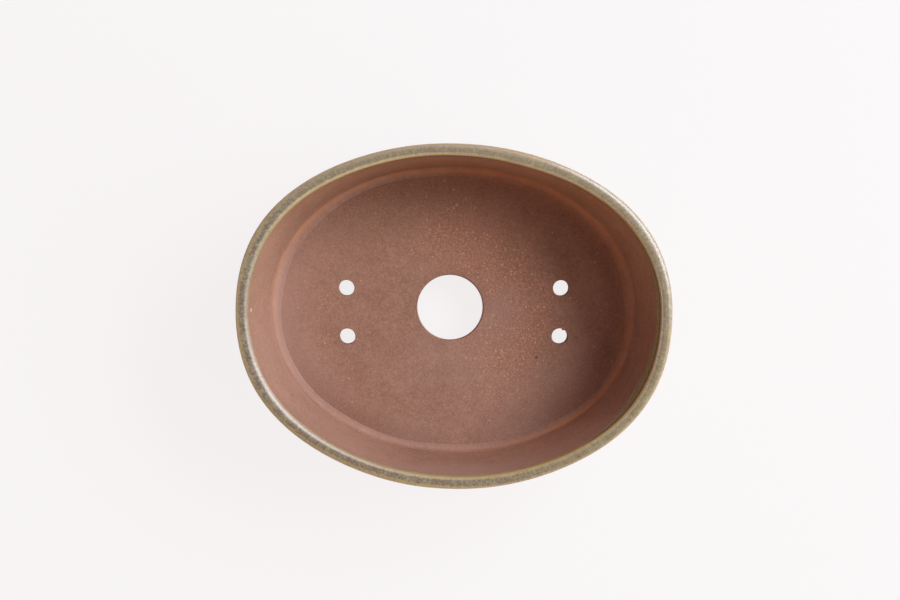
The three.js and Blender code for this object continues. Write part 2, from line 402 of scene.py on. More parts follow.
def glaze_end_inside(angle):
    """How far the glaze comes down the inside below the rim's rounding: most on the right-hand side."""
    run = swells(angle, (7.7, -23, 20), (5.0, 14, 20), (1.2, 275, 40), (0.9, 155, 40))
    ragged = 0.1 * np.sin(11 * angle) + 0.1 * np.sin(17 * angle + 1.3) + 0.08 * np.sin(29 * angle + 0.4)
    return GLAZE_LIP + run + ragged * (1 + 0.4 * run)


def glaze_line_outside(angle):
    """The height of the glaze's lower edge on the outside."""
    wave = 0.4 * np.sin(4 * angle + 0.5) + 0.3 * np.sin(9 * angle + 2.0) + 0.15 * np.sin(23 * angle)
    return GLAZE_LINE + GLAZE_LINE_LIFT + wave


def glaze_depth(angle):
    """How deep, and so how dark, the glaze lies: from 0 on the pot's upper right to 1 on its lower left."""
    return smooth(55, 155, np.abs(angle_from(angle, 28)))


def thin_at_edge(angle):
    """How far the glaze breaks over the rim's inner edge: most on the upper left, least at both ends."""
    more = swells(angle, (0.55, 124, 38), (0.45, 275, 35), (0.4, 48, 28), (0.3, 328, 22))
    return 0.4 + more - swells(angle, (0.35, 193, 32), (0.35, 8, 13))


def tan_width(angle):
    """How much wider than usual the pale outer edge is: most on the pot's lower left."""
    wider = swells(angle, (0.42, 228, 20), (-0.4, 285, 22), (-0.4, 138, 32), (-0.25, 70, 24))
    return lerp(-0.35, 0.0, glaze_depth(angle)) + wider


def lilac_tint(angle):
    """How lilac the glaze looks, in its own colour and in a painted reflection on the rim's outer edge:
    most along the pot's upper edge.
    """
    return swells(angle, (0.9, 85, 45), (0.6, 145, 35), (0.55, 18, 26))


def make_glaze():
    angle = ring_angles()
    outer_round = rim_outer_round(angle)
    closer_at_line = np.linspace(0, 1, GLAZE_SIDE_ROWS) ** 1.25
    side_z = lerp(glaze_line_outside(angle), RIM_TOP - outer_round, closer_at_line)
    turn = np.radians(np.linspace(0, 90, GLAZE_ROUND_ROWS))[1:] * np.ones_like(angle)
    inner_round = rim_inner_round(angle)
    shoulder = RIM_TOP - inner_round
    closer_at_end = 1 - (1 - np.linspace(0, 1, GLAZE_LIP_ROWS)[1:]) ** 1.5
    lip_z = shoulder - closer_at_end * glaze_end_inside(angle)
    level = np.ones_like(angle)
    outer_centre = outer_face(RIM_TOP - outer_round) - outer_round
    inner_centre = inner_face(shoulder) + inner_round + rim_pinch(angle) * pinched(shoulder)
    clay_out = np.hstack([
        outer_face(side_z),
        outer_centre + outer_round * np.cos(turn),
        inner_centre,
        inner_centre - inner_round * np.sin(turn),
        inner_face(lip_z) + rim_pinch(angle) * pinched(lip_z),
    ])
    clay_z = np.hstack([
        side_z,
        RIM_TOP - outer_round * (1 - np.sin(turn)),
        RIM_TOP * level,
        shoulder + inner_round * np.cos(turn),
        lip_z,
    ])
    # The direction straight out of the clay
    on_side, on_lip = np.ones_like(side_z), np.ones_like(lip_z)
    away_out = np.hstack([on_side, np.cos(turn), 0 * level, -np.sin(turn), -on_lip])
    away_z = np.hstack([0 * on_side, np.sin(turn), level, np.cos(turn), 0 * on_lip])
    step = np.hypot(np.diff(clay_out), np.diff(clay_z))
    from_line = np.hstack([0 * level, np.cumsum(step, 1)])
    from_end = from_line[:, -1:] - from_line
    rounded = np.minimum(from_line / GLAZE_LINE_ROUND, from_end / GLAZE_LIP_ROUND)
    bead = BEAD * np.exp(-((from_line - BEAD_AT) / BEAD_WIDTH) ** 2)
    proud = GLAZE_PROUD - GLAZE_CLEAR + hand_wave(angle, clay_z, GLAZE_WAVE) + bead
    proud = proud * np.sqrt(np.clip(rounded, 0, 1))
    out = np.hstack([clay_out + away_out * proud, (clay_out - away_out * SEAT)[:, ::-1]])
    z = np.hstack([clay_z + away_z * proud, (clay_z - away_z * SEAT)[:, ::-1]])
    # The way over the rim is 0 at the inner end of its flat and counts a rounding as long as RIM_ROUND's
    flat_end = side_z.shape[1] + turn.shape[1]
    over = from_line - from_line[:, flat_end:flat_end + 1]
    over = over * RIM_ROUND / np.where(over > 0, inner_round, outer_round)

    def on_both_faces(mark):
        """A mark for the face that shows and, back again, for the face that sits in the clay."""
        mark = np.broadcast_to(mark, over.shape)
        return np.hstack([mark, mark[:, ::-1]])

    marks = {
        "depth": on_both_faces(glaze_depth(angle)),
        "gold": on_both_faces(near_angle(angle, 280, 48)),
        "thin": on_both_faces(thin_at_edge(angle)),
        "lilac": on_both_faces(lilac_tint(angle)),
        "tan": on_both_faces(tan_width(angle)),
        "wiped": on_both_faces(near_angle(angle, 210, 30)),
        "wear_and_shade": on_both_faces(smooth(0.88, 0.99, away_z)),
        "over_rim": on_both_faces(over),
        "to_end": on_both_faces(from_end),
        "to_line": on_both_faces(from_line),
    }
    return ring_piece("glaze_skin", out, z, ["glaze_coat"], marks)


# The floor


def floor_outline(inset):
    """Points round the floor's edge, this far inside it."""
    angle = ring_angles()[:, 0]
    x, y = oval_point(0.0, angle)
    outward_x, outward_y = oval_outward(0.0, angle)
    return np.stack([x - outward_x * inset, y - outward_y * inset], -1)


def hole_loop(hole, grow):
    """Points round a hole, this much wider than it."""
    x, y, radius = hole
    count = DRAIN_AROUND if hole is DRAIN else WIRE_HOLE_AROUND
    turn = np.linspace(0, 2 * math.pi, count, endpoint=False)
    crumb = CRUMB * near_angle(turn, CRUMB_AT, CRUMB_SPREAD) if hole is CRUMB_HOLE else 0
    out = radius + grow - crumb
    return np.stack([x + out * np.cos(turn), y + out * np.sin(turn)], -1)


def filled_plate(edge, holes):
    """Triangles between an outline and the holes in it, and the points, with the loops' points first."""
    loops = [edge, *holes]
    ring_edges, start = [], 0
    for loop in loops:
        count = len(loop)
        ring_edges += [(start + i, start + (i + 1) % count) for i in range(count)]
        start += count
    x, y = np.meshgrid(
        np.arange(-BASE_HALF_LENGTH, BASE_HALF_LENGTH, FLOOR_MESH_STEP),
        np.arange(-BASE_HALF_WIDTH, BASE_HALF_WIDTH, FLOOR_MESH_STEP),
    )
    grid = np.stack([x.ravel(), y.ravel()], -1)
    shape = np.hypot(grid[:, 0] / BASE_HALF_LENGTH, grid[:, 1] / BASE_HALF_WIDTH)
    keep = shape < FLOOR_MESH_REACH
    for hole_x, hole_y, radius in HOLES:
        keep &= np.hypot(grid[:, 0] - hole_x, grid[:, 1] - hole_y) > radius + 1.5 * FLOOR_MESH_STEP
    around_holes = [hole_loop(hole, HOLE_EDGE_ROUND + flat) for hole in HOLES for flat in HOLE_FLAT]
    given = np.concatenate([*loops, *around_holes, grid[keep]])
    _, _, faces, origin, _, _ = delaunay_2d_cdt([Vector(p) for p in given], ring_edges, [], 0, 1e-6)
    place = np.array([o[0] for o in origin])
    on_hole = np.zeros(len(given), int)
    on_hole[:start] = np.repeat(np.arange(len(loops)), [len(loop) for loop in loops])
    triangles = []
    for face in faces:
        corners = tuple(int(place[i]) for i in face)
        touched = {int(on_hole[c]) for c in corners}
        in_hole = len(touched) == 1 and 0 not in touched
        if not in_hole:
            triangles.append(corners)
    return given, triangles


def floor_unevenness(x, y):
    """How far the floor's upper face rises and falls: not at all where the wall and the coil sit on it."""
    wave = np.sin(0.07 * x + 0.03 * y) + np.sin(0.05 * y - 0.09 * x + 1.4)
    wave = wave + 0.6 * np.sin(0.16 * y + 0.11 * x)
    to_edge = np.hypot(x / BASE_HALF_LENGTH, y / BASE_HALF_WIDTH)
    return FLOOR_WAVE * wave * smooth(0.86, 0.7, to_edge)


def patch(x, y, middle, reach):
    """1 in the middle of a soft patch on the floor, falling off around it."""
    return np.exp(-(((x - middle[0]) / reach[0]) ** 2) - ((y - middle[1]) / reach[1]) ** 2)


def floor_marks(x, y):
    """Where grog specks lie thick round the drain hole, where painted shade darkens the floor, where pale
    tone and painted light make it paler, and where it is flashed.
    """
    away_x, away_y = x - DRAIN[0], y - DRAIN[1]
    from_drain = np.hypot(away_x, away_y)
    around_drain = np.arctan2(away_y, away_x)
    turned = np.abs(angle_from(around_drain, 25))
    crescent = 24 + 8 * near_angle(around_drain, -25, 34)
    specks = np.exp(-(((from_drain - crescent) / 13) ** 2)) * smooth(112, 66, turned)
    inside_length = BASE_HALF_LENGTH - WALL_FOOT_THICKNESS
    inside_width = BASE_HALF_WIDTH - WALL_FOOT_THICKNESS
    to_edge = np.hypot(x / inside_length, y / inside_width)
    towards = np.arctan2(y, x)
    shade = 1.1 * smooth(0.84, 0.93, to_edge) * smooth(48, 18, np.abs(angle_from(towards, 226)))
    shade = shade + 0.9 * smooth(0.5, 0.92, to_edge) * near_angle(towards, 112, 40)
    shade = shade + 0.8 * smooth(0.7, 0.93, to_edge) * near_angle(towards, 318, 26)
    shade = shade + 0.8 * smooth(0.79, 0.9, to_edge) * near_angle(towards, 18, 36)
    shade = shade + 0.4 * patch(x, y, (34, -16), (9, 9))
    # Pale tone, with painted light on the floor's lower side and by the coil on its left
    pale = 0.68 * smooth(0.7, 0.98, to_edge) * near_angle(towards, 190, 36)
    pale = pale + 0.4 * smooth(0.7, 0.95, to_edge) * swells(towards, (1, 250, 13), (1, 299, 13))
    pale = pale + 0.18 * patch(x, y, (6, -23), (30, 13)) + 0.15 * patch(x, y, (42, -29), (14, 10))
    pale = pale + 0.38 * patch(away_x, away_y, (20, -1), (9, 10))
    # One slanting band at the right-hand wire holes
    across_band = 0.91 * (x - 45) + 0.41 * (y - 5)
    along_band = 0.41 * (x - 45) - 0.91 * (y - 5)
    pale = pale + 0.12 * patch(across_band, along_band, (0, 0), (5, 22))
    flash_and_warm_light = 0.6 * smooth(0.9, 0.97, to_edge) * smooth(80, 45, np.abs(angle_from(towards, 42)))
    return {"specks": specks, "shade": shade, "pale": pale, "flash_and_warm_light": flash_and_warm_light}


def make_floor():
    arc = np.radians(np.linspace(0, 90, 6))
    side = [(0.0, FLOOR_TOP), (0.0, FLOOR_BOTTOM + FLOOR_EDGE_ROUND)]
    side += [
        (FLOOR_EDGE_ROUND * (1 - math.cos(a)), FLOOR_BOTTOM + FLOOR_EDGE_ROUND * (1 - math.sin(a)))
        for a in arc[1:]
    ]
    lip = [
        (HOLE_EDGE_ROUND * (1 - math.sin(a)), FLOOR_TOP - HOLE_EDGE_ROUND * (1 - math.cos(a))) for a in arc
    ]
    bore = lip + [(grow, FLOOR_TOP + FLOOR_BOTTOM - z) for grow, z in reversed(lip)]
    points, faces = [], []

    def add_plate(edge_inset, grow, z, upward):
        """Adds the upper or the lower face, whose loops come first, and says where its points start."""
        loops = [hole_loop(hole, grow) for hole in HOLES]
        flat, triangles = filled_plate(floor_outline(edge_inset), loops)
        start = len(points)
        lift = floor_unevenness(flat[:, 0], flat[:, 1]) if upward else 0 * flat[:, 0]
        points.extend(np.column_stack([flat, z + lift]).tolist())
        faces.extend(tuple(start + i for i in t) for t in triangles)
        return start

    top = add_plate(side[0][0], bore[0][0], FLOOR_TOP, True)
    bottom = add_plate(side[-1][0], bore[-1][0], FLOOR_BOTTOM, False)

    def add_strips(loop_at, layers, offset):
        """Joins a loop of the upper face to the same loop of the lower face through the layers between."""
        count = len(loop_at(layers[0][0]))
        rows = [list(range(top + offset, top + offset + count))]
        for grow, z in layers[1:-1]:
            start = len(points)
            points.extend([(x, y, z) for x, y in loop_at(grow)])
            rows.append(list(range(start, start + count)))
        rows.append(list(range(bottom + offset, bottom + offset + count)))
        for upper, lower in zip(rows, rows[1:]):
            for i in range(count):
                j = (i + 1) % count
                faces.append((upper[i], upper[j], lower[j], lower[i]))
        return offset + count

    offset = add_strips(floor_outline, side, 0)
    for hole in HOLES:
        offset = add_strips(lambda grow: hole_loop(hole, grow), bore, offset)
    x, y = np.array(points)[:, :2].T
    return new_piece("clay_floor", points, faces, ["floor_slab"], floor_marks(x, y))


# The feet


def make_foot(name, degrees):
    """A pad pressed on under the floor, bent along the floor's edge, with its joint smoothed out."""
    radius = FOOT_WIDTH / 2
    low = radius - FOOT_TAPER
    arc = np.radians(np.linspace(0, 90, 7))
    profile = [(low * t, 0.0) for t in (0.25, 0.5, 0.75)]
    profile += [(low - FOOT_ROUND * (1 - math.sin(a)), FOOT_ROUND * (1 - math.cos(a))) for a in arc]
    waist = radius - FOOT_WAIST
    profile += [(waist, FLOOR_BOTTOM - FOOT_FILLET)]
    profile += [
        (waist + FOOT_FILLET * (1 - math.cos(a)), FLOOR_BOTTOM - FOOT_FILLET * (1 - math.sin(a)))
        for a in arc[1:]
    ]
    profile += [(waist + FOOT_FILLET, FLOOR_BOTTOM + SEAT)]
    profile += [(radius * t, FLOOR_BOTTOM + SEAT) for t in (0.8, 0.5, 0.25)]
    # Rows of the profile all round, then the middle points of the lower and the upper face
    turn = np.linspace(0, 2 * math.pi, FOOT_AROUND, endpoint=False)[:, None]
    r, z = np.array(profile).T
    along = np.append(r * np.cos(turn), [0.0, 0.0]) * FOOT_LENGTH / FOOT_WIDTH
    across = np.append(r * np.sin(turn), [0.0, 0.0])
    height = np.append(np.tile(z, FOOT_AROUND), [0.0, FLOOR_BOTTOM + SEAT])
    middle = math.radians(degrees)
    x0, y0 = oval_point(0.0, middle - ANGLE_STEP)
    x1, y1 = oval_point(0.0, middle + ANGLE_STEP)
    pace = math.hypot(x1 - x0, y1 - y0) / (2 * ANGLE_STEP)
    bent = middle + along / pace
    x, y = oval_point(0.0, bent)
    outward_x, outward_y = oval_outward(0.0, bent)
    inward = FOOT_INSET + radius + across
    points = np.column_stack([x - outward_x * inward, y - outward_y * inward, height])
    columns = len(profile)
    faces = grid_faces(FOOT_AROUND, columns, False)
    bottom_point = FOOT_AROUND * columns
    top_point = bottom_point + 1
    for i in range(FOOT_AROUND):
        j = (i + 1) % FOOT_AROUND
        faces.append((i * columns, j * columns, bottom_point))
        faces.append((i * columns + columns - 1, j * columns + columns - 1, top_point))
    return new_piece(f"clay_{name}", points, faces, [name])


# Finishes


class Value:
    """A value in a finish. Sums and products of values add Math nodes to it."""

    def __init__(self, finish, socket):
        self.finish = finish
        self.socket = socket

    def _math(self, operation, first, second):
        return self.finish.node("ShaderNodeMath", {"operation": operation}, {0: first, 1: second})

    def __add__(self, other):
        return self._math("ADD", self, other)

    __radd__ = __add__

    def __sub__(self, other):
        return self._math("SUBTRACT", self, other)

    def __rsub__(self, other):
        return self._math("SUBTRACT", other, self)

    def __mul__(self, other):
        return self._math("MULTIPLY", self, other)

    __rmul__ = __mul__

    def most(self, other):
        return self._math("MAXIMUM", self, other)


class Finish:
    """The nodes of a material, or of the room."""

    def __init__(self, owner):
        self.owner = owner
        owner.use_nodes = True
        self.tree = owner.node_tree
        self.tree.nodes.clear()

    def node(self, kind, settings=None, inputs=None, output=0):
        """Adds a node: its settings are set first, then the values or links of its sockets."""
        made = self.tree.nodes.new(kind)
        for key, value in (settings or {}).items():
            setattr(made, key, value)
        for key, value in (inputs or {}).items():
            socket = made.inputs[key] if isinstance(key, int) else self._socket(made, key)
            if isinstance(value, Value):
                self.tree.links.new(value.socket, socket)
            elif isinstance(value, tuple) and socket.type == "RGBA":
                socket.default_value = (*value, 1.0)
            else:
                socket.default_value = value
        if not made.outputs:
            return None
        picked = made.outputs[output] if isinstance(output, int) else self._socket(made, output, True)
        return Value(self, picked)

    @staticmethod
    def _socket(made, key, is_output=False):
        sockets = made.outputs if is_output else made.inputs
        for socket in sockets:
            if key in (socket.identifier, socket.name):
                return socket
        raise KeyError(key)

    def place(self):
        """The point on the pot, in millimetres."""
        metres = self.node("ShaderNodeTexCoord", output="Object")
        return self.node("ShaderNodeVectorMath", {"operation": "SCALE"}, {0: metres, "Scale": 1 / MM})

    def noise(self, place, size, detail=2.0, rough=0.5, shift=0.0):
        """Noise from 0 to 1 whose blotches are about size millimetres across."""
        shifted = {0: place, 1: (shift, -shift, 2 * shift)}
        moved = self.node("ShaderNodeVectorMath", {"operation": "ADD"}, shifted)
        inputs = {"Vector": moved, "Scale": 1 / size, "Detail": detail, "Roughness": rough}
        return self.node("ShaderNodeTexNoise", None, inputs, "Fac")

    def cells(self, place, size):
        """Points strewn about size millimetres apart: the distance to the nearest, and two draws for it."""
        near = self.node("ShaderNodeTexVoronoi", None, {"Vector": place, "Scale": 1 / size}, "Distance")
        drawn = Value(self, near.socket.node.outputs["Color"])
        split = self.node("ShaderNodeSeparateColor", None, {0: drawn})
        return near, split, Value(self, split.socket.node.outputs[1])

    def between(self, value, low, high):
        """Goes softly from 0 to 1 as the value goes from low to high, which may lie below low."""
        settings = {"interpolation_type": "SMOOTHSTEP"}
        inputs = {"Value": value, "From Min": low, "From Max": high, "To Min": 0.0, "To Max": 1.0}
        return self.node("ShaderNodeMapRange", settings, inputs)

    def mix(self, share, first, second, how="MIX"):
        """The first colour with this share of the second mixed in, or multiplied with it."""
        settings = {"data_type": "RGBA", "blend_type": how}
        inputs = {"Factor_Float": share, "A_Color": first, "B_Color": second}
        return self.node("ShaderNodeMix", settings, inputs, "Result_Color")

    def mark(self, name):
        """A value that a piece has at its points, or 0 on a piece without it."""
        return self.node("ShaderNodeAttribute", {"attribute_name": name}, None, "Fac")

    def spot(self, place, centre, radius):
        """1 inside a small round mark on the surface, 0 outside it."""
        away = self.node("ShaderNodeVectorMath", {"operation": "DISTANCE"}, {0: place, 1: centre}, "Value")
        return self.between(away, radius * 1.15, radius * 0.7)

    def surface(self, inputs, height, strength, depth):
        """Ends a material with its shader, whose relief is depth millimetres deep."""
        relief = {"Height": height, "Strength": strength, "Distance": depth * MM}
        normal = self.node("ShaderNodeBump", None, relief)
        shader = self.node("ShaderNodeBsdfPrincipled", None, {**inputs, "Normal": normal})
        self.node("ShaderNodeOutputMaterial", None, {"Surface": shader})
        return self.owner


CLAY_DARK = (0.30, 0.148, 0.097)
CLAY_PALE = (0.435, 0.235, 0.164)
GROG = (0.67, 0.275, 0.15)
GROG_PALE = (0.66, 0.36, 0.22)
GROG_RED = (0.45, 0.2, 0.122)
FLASH_AND_WARM_LIGHT = (0.6, 0.255, 0.125)
PALE_TONE_AND_LIGHT = (0.48, 0.292, 0.232)
PIT_AND_SHADE = (0.11, 0.06, 0.05)
SHADE_AND_DARK_GRAIN = (0.242, 0.113, 0.068)
SPLASH = (0.75, 0.62, 0.42)
SMUDGE = (0.17, 0.13, 0.15)
SPLASH_AT = (-74.4, 1.8, 44.4)
SMUDGE_AT = (-60.5, -31.3, 28.4)
PIT_AT = (31.8, -18.4, FLOOR_TOP)


def clay_finish():
    """Red-brown stoneware: clouded, finely grained, with orange specks, and flashed orange at the seam,
    with painted light and shade laid on by the pieces' marks.
    """
    clay = Finish(bpy.data.materials.new("stoneware"))
    place = clay.place()
    blotch = clay.noise(place, 30, 2.0)
    cloud = clay.noise(place, 6, 3.0, 0.6, 11.0)
    mottle = clay.noise(place, 1.7, 2.0, 0.6, 19.0)
    grain = clay.noise(place, 0.7, 2.0, 0.6, 5.0)
    tone = 0.52 + (blotch - 0.5) * 0.8 + (cloud - 0.5) * 0.7 + (mottle - 0.5) * 0.7 + (grain - 0.5) * 1.3
    brown = clay.mix(clay.between(tone, 0.0, 1.0), CLAY_DARK, CLAY_PALE)
    # Painted shade near the walls and the coil and on the sides turned from the lamps
    brown = clay.mix(clay.mark("shade") * 0.7, brown, SHADE_AND_DARK_GRAIN)
    # Orange grog: fine and dense in some places, with single larger specks everywhere
    clump = clay.between(clay.noise(place, 7, 2.0, 0.5, 61.0), 0.3, 0.7)
    crescent = clay.mark("specks") * (0.45 + 0.55 * clump)
    brown = clay.mix(crescent * 0.5, brown, GROG_RED)
    sand = clay.noise(place, 0.62, 1.0, 0.5, 37.0)
    fine = clay.between(sand, 0.52, 0.64) * (0.33 + 0.5 * crescent)
    brown = clay.mix(fine * 0.8, brown, GROG)
    # Dark grains among the grog, in the colour of the painted shade
    brown = clay.mix(clay.between(sand, 0.47, 0.36) * crescent * 0.5, brown, SHADE_AND_DARK_GRAIN)
    near, draw, draw_size = clay.cells(place, 1.15)
    share = 0.03 + 0.4 * crescent
    size = 0.33 + 0.16 * draw_size
    speck = clay.between(draw, share, share - 0.03) * clay.between(near, size, size - 0.18)
    brown = clay.mix(speck * 0.75, brown, clay.mix(draw_size, GROG, GROG_PALE))
    pit = clay.between(draw, 0.988, 0.993) * clay.between(near, 0.2, 0.1)
    brown = clay.mix(pit * 0.5, brown, PIT_AND_SHADE)
    # Orange flash, pale tone and a brown line below the glaze, with painted light and shade mixed into each
    uneven = clay.between(clay.noise(place, 5, 3.0, 0.6, 47.0), 0.3, 0.66)
    # Orange flash along the seam, with painted warm light on the wall's upper side and lower right
    brown = clay.mix(clay.mark("flash_and_warm_light") * (0.3 + 0.45 * uneven), brown, FLASH_AND_WARM_LIGHT)
    # Pale tone, with painted light where the coil, the lower wall and the floor face the lamps
    brown = clay.mix(clay.mark("pale") * 0.75, brown, PALE_TONE_AND_LIGHT)
    # A brown line below the glaze's end, with painted shadow under the glaze's edge and painted shade far
    # down the wall on the pot's upper side
    brown = clay.mix(clay.mark("stain_and_shade") * 0.6, brown, PIT_AND_SHADE)
    # A splash of glaze and a smudge on the wall, and one larger pit in the floor
    brown = clay.mix(clay.spot(place, SPLASH_AT, 0.8), brown, SPLASH)
    brown = clay.mix(clay.spot(place, SMUDGE_AT, 0.65) * 0.8, brown, SMUDGE)
    brown = clay.mix(clay.spot(place, PIT_AT, 0.5) * 0.8, brown, PIT_AND_SHADE)
    rough = 0.72 + 0.2 * grain
    relief = grain * 0.5 + mottle * 0.4 + cloud * 0.5 + fine * 0.3 + speck * 0.4
    inputs = {"Base Color": brown, "Roughness": rough, "Specular IOR Level": 0.15}
    return clay.surface(inputs, relief, 0.5, 0.12)


OLIVE = (0.325, 0.238, 0.135)
OLIVE_GREEN = (0.375, 0.338, 0.195)
OLIVE_BROWN = (0.225, 0.152, 0.078)
DEEP = (0.24, 0.157, 0.108)
DEEP_GREEN = (0.35, 0.325, 0.2)
DEEP_BROWN = (0.155, 0.096, 0.063)
LILAC = (0.285, 0.2, 0.175)
LILAC_PALE = (0.44, 0.37, 0.32)
GREEN_PALE = (0.46, 0.41, 0.265)
MOSS = (0.38, 0.345, 0.165)
TAN = (0.47, 0.285, 0.13)
TAN_PALE = (0.53, 0.37, 0.165)
CREAM = (0.46, 0.365, 0.23)
CREAM_PALE = (0.56, 0.44, 0.28)
GOLD = (0.49, 0.335, 0.125)
PAINTED_HIGHLIGHT = (0.5, 0.36, 0.265)
HONEY = (0.62, 0.4, 0.14)
HONEY_DARK = (0.2, 0.11, 0.04)
PINHOLE = (0.13, 0.08, 0.05)
LIP_OLIVE = (0.42, 0.355, 0.2)
RIM_PAINTED_SHADE = (0.82, 0.775, 0.67)  # share of the colour that painted shade leaves on the flat of the rim, where it offsets the sheen of the dull gloss
FLOW_RING = 70.0  # radius of the ring that the streaks of glaze are drawn on
FLOW_PACE = 0.7  # how fast streaks change over the rim, where 1 is as fast as round it
FALL_PACE = 0.16  # and how fast the long runs do


def glaze_finish():
    """Olive to grey-brown glaze, streaked where it ran, breaking to cream and honey where it is thin, with
    a painted reflection, a painted highlight and painted shade on the rim.
    """
    glaze = Finish(bpy.data.materials.new("olive_glaze"))
    place = glaze.place()
    over = glaze.mark("over_rim")
    to_end = glaze.mark("to_end")
    to_line = glaze.mark("to_line")
    thin = glaze.mark("thin")
    lilac = glaze.mark("lilac")
    flat = glaze.node("ShaderNodeVectorMath", {"operation": "MULTIPLY"}, {0: place, 1: (1.0, 1.0, 0.0)})
    outward = glaze.node("ShaderNodeVectorMath", {"operation": "NORMALIZE"}, {0: flat})
    ring = glaze.node("ShaderNodeVectorMath", {"operation": "SCALE"}, {0: outward, "Scale": FLOW_RING})
    lift = glaze.node("ShaderNodeCombineXYZ", None, {"Z": over * FLOW_PACE})
    flow = glaze.node("ShaderNodeVectorMath", {"operation": "ADD"}, {0: ring, 1: lift})
    fall = glaze.node("ShaderNodeCombineXYZ", None, {"Z": over * FALL_PACE})
    falling = glaze.node("ShaderNodeVectorMath", {"operation": "ADD"}, {0: ring, 1: fall})
    runs = glaze.noise(falling, 2.4, 3.0, 0.55, 71.0)
    cloud = glaze.noise(place, 4, 3.0, 0.6, 3.0)
    streak = glaze.noise(flow, 1.1, 2.0, 0.55, 17.0)
    fleck = glaze.noise(place, 0.9, 2.0, 0.55, 29.0)
    bloom = glaze.noise(place, 2.0, 2.0, 0.6, 53.0)
    drift = glaze.noise(place, 18, 2.0, 0.5, 23.0)
    wander = (glaze.noise(flow, 1.6, 3.0, 0.6, 41.0) - 0.5) * 1.6
    where = over + wander * 0.6
    deep = glaze.between(glaze.mark("depth") + (drift - 0.5) * 0.6, 0.1, 0.9)
    green = glaze.between(streak, 0.52, 0.63)
    dark = glaze.between(fleck, 0.48, 0.64)
    brown = glaze.mix(deep, OLIVE_BROWN, DEEP_BROWN)
    body = glaze.mix(deep, OLIVE, DEEP)
    body = glaze.mix(glaze.between(cloud, 0.5, 0.7) * 0.3, body, brown)
    body = glaze.mix(glaze.between(runs, 0.5, 0.66) * 0.5, body, brown)
    body = glaze.mix(glaze.between(runs, 0.47, 0.34) * 0.4, body, glaze.mix(deep, OLIVE_GREEN, DEEP_GREEN))
    body = glaze.mix(glaze.between(bloom, 0.45, 0.62) * (0.25 + 0.5 * lilac), body, LILAC)
    # Painted reflection: a pale lilac band over the rim's outer edge, where the glaze mirrors the pale room
    painted_reflection = glaze.between(where, -0.75, -1.3) * glaze.between(where, -2.5, -1.9)
    body = glaze.mix(painted_reflection * lilac * 0.7, body, glaze.mix(deep, LILAC_PALE, GREEN_PALE))
    body = glaze.mix(green * 0.85, body, glaze.mix(deep, OLIVE_GREEN, DEEP_GREEN))
    dots = glaze.between(glaze.noise(place, 0.75, 1.0, 0.5, 83.0), 0.54, 0.64)
    on_rim = glaze.between(over, -9.0, -4.0)
    body = glaze.mix(dots * (0.5 + 0.15 * deep) * (0.45 + 0.55 * on_rim), body, MOSS)
    body = glaze.mix(dark * (0.5 + 0.15 * deep), body, brown)
    # It pools darker above its lower edge, and breaks paler over both edges of the rim
    body = glaze.mix(glaze.between(to_line + wander * 2.5, 7.0, 1.0) * 0.45, body, DEEP_BROWN)
    outer_break = glaze.between(where - glaze.mark("tan"), -0.95, -1.45) * glaze.between(where, -5.0, -3.4)
    body = glaze.mix(outer_break * (0.85 - 0.3 * dark), body, glaze.mix(deep, TAN, TAN_PALE))
    # Where the glaze breaks over the inner edge it turns cream; on the pot's right-hand side and upper
    # right the cream is paler still, as a painted reflection
    inner_break = glaze.between(where, 0.3, 0.95) * glaze.between(where, 2.0, 1.5)
    cream = glaze.mix(glaze.mark("gold") * 0.9, glaze.mix(deep, CREAM_PALE, CREAM), GOLD)
    body = glaze.mix(inner_break * (1.0 - 0.3 * dark) * thin, body, cream)
    honey_line = glaze.between(where, 1.15, 1.55) * (0.2 + 0.75 * thin)
    body = glaze.mix(honey_line, body, glaze.mix(deep, HONEY, GOLD))
    # Painted highlight: on the pot's lower left the glaze's inner end is pale where the gloss's highlight
    # runs to the edge
    body = glaze.mix(glaze.between(where, 0.9, 1.35) * glaze.mark("wiped") * 0.85, body, PAINTED_HIGHLIGHT)
    # The lip that ran down inside: a thin brown line under the edge, then olive
    on_lip = glaze.between(to_end, 1.5, 3.0)
    body = glaze.mix(glaze.between(where, 2.0, 2.4) * on_lip * 0.8, body, HONEY_DARK)
    lip = glaze.mix(green, glaze.mix(dark * 0.7, LIP_OLIVE, OLIVE_BROWN), OLIVE_GREEN)
    body = glaze.mix(glaze.between(over + wander, 3.2, 4.4) * 0.9, body, lip)
    body = glaze.mix(glaze.between(to_end + wander * 0.4, 1.0, 0.5) * 0.7, body, HONEY)
    body = glaze.mix(glaze.between(to_end, 0.35, 0.1) * 0.7, body, HONEY_DARK)
    body = glaze.mix(glaze.between(to_line + wander, 1.4, 0.4) * 0.8, body, HONEY_DARK)
    # Pinholes, where a bubble burst in the kiln
    near, draw, draw_size = glaze.cells(place, 2.4)
    hole = 0.12 + 0.1 * draw_size
    pinhole = glaze.between(draw, 0.9, 0.91) * glaze.between(near, hole, hole - 0.06)
    body = glaze.mix(pinhole * 0.6, body, PINHOLE)
    # The flat of the rim is dulled by handling, and darkened with painted shade that offsets the sheen its
    # dull gloss gathers
    wear_and_shade = glaze.mark("wear_and_shade")
    body = glaze.mix(wear_and_shade * (1.0 - 0.45 * deep), body, RIM_PAINTED_SHADE, "MULTIPLY")
    rough = 0.18 + 0.1 * streak + 0.17 * deep + 0.4 * wear_and_shade
    relief = cloud * 0.7 + streak * 0.15
    return glaze.surface({"Base Color": body, "Roughness": rough, "IOR": 1.6}, relief, 0.15, 0.1)


def dress(piece, material):
    piece.data.materials.append(material)


def make_pot():
    stoneware = clay_finish()
    dress(make_wall(), stoneware)
    dress(make_floor(), stoneware)
    dress(make_coil(), stoneware)
    for name, degrees in FOOT_ANGLES.items():
        dress(make_foot(name, degrees), stoneware)
    dress(make_glaze(), glaze_finish())


# Floor of the scene, light and camera

